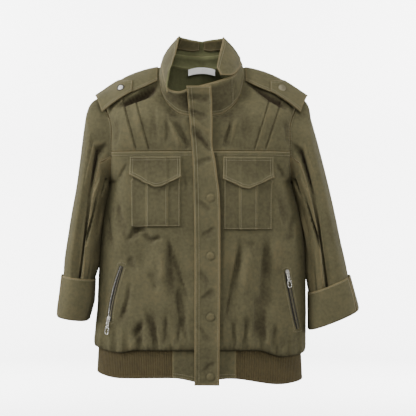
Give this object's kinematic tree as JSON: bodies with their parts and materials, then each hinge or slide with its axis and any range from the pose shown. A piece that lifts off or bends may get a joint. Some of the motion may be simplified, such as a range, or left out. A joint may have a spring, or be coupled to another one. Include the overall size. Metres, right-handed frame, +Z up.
{
  "type": "utility jacket",
  "caption": "Hip-length cloth jacket with stand collar, snap placket over a zip, epaulets, pleated flap pockets, slanted zip pockets, turned-up cuffs and ribbed hem.",
  "frame": {"origin": "the middle of the neck base, at the height of the shoulders' high points, where the jacket is held", "axes": "+Z up, -Y towards the front with the placket, +X towards the wearer's left"},
  "size_m": [0.6183, 0.1732, 0.7094],
  "materials": {
    "cloth": "matt olive cotton twill",
    "rib": "matt brown-olive rib knit",
    "metal": "satin nickel",
    "label": "matt woven tape"
  },
  "bodies": {
    "garment": {"right_front_yoke": "cloth", "left_front_yoke": "cloth", "right_front": "cloth", "left_front": "cloth", "back": "cloth", "right_sleeve_upper": "cloth", "right_sleeve_under": "cloth", "left_sleeve_upper": "cloth", "left_sleeve_under": "cloth", "right_cuff": "cloth", "left_cuff": "cloth", "collar_stand": "cloth", "collar_leaf": "cloth", "collar_tab_right": "cloth", "collar_tab_left": "cloth", "neck_label": "label", "placket": "cloth", "front_zip": "metal", "placket_snap_1": "metal", "placket_snap_2": "metal", "placket_snap_3": "metal", "placket_snap_4": "metal", "hem_rib": "rib", "hem_end_right": "cloth", "hem_end_left": "cloth", "right_chest_patch": "cloth", "right_chest_flap": "cloth", "left_chest_patch": "cloth", "left_chest_flap": "cloth", "right_pocket_zip": "metal", "right_pocket_slider": "metal", "left_pocket_zip": "metal", "left_pocket_slider": "metal", "front_zip_slider": "metal", "front_zip_pull": "metal", "right_epaulet_strap": "cloth", "right_epaulet_tab": "cloth", "right_epaulet_snap": "metal", "left_epaulet_strap": "cloth", "left_epaulet_tab": "cloth", "left_epaulet_snap": "metal"},
    "right_pull": {"right_pocket_pull": "metal"},
    "left_pull": {"left_pocket_pull": "metal"}
  },
  "joints": [
    {"name": "right_pull_swing", "type": "hinge", "parent": "garment", "child": "right_pull", "pos_m": [-0.18728, -0.04594, -0.51439], "axis": [-0.8956, 0.4307, 0.1113], "range_deg": [0, 165]},
    {"name": "left_pull_swing", "type": "hinge", "parent": "garment", "child": "left_pull", "pos_m": [0.1731, -0.05131, -0.42045], "axis": [-0.9226, -0.3471, -0.1685], "range_deg": [0, 165]}
  ]
}
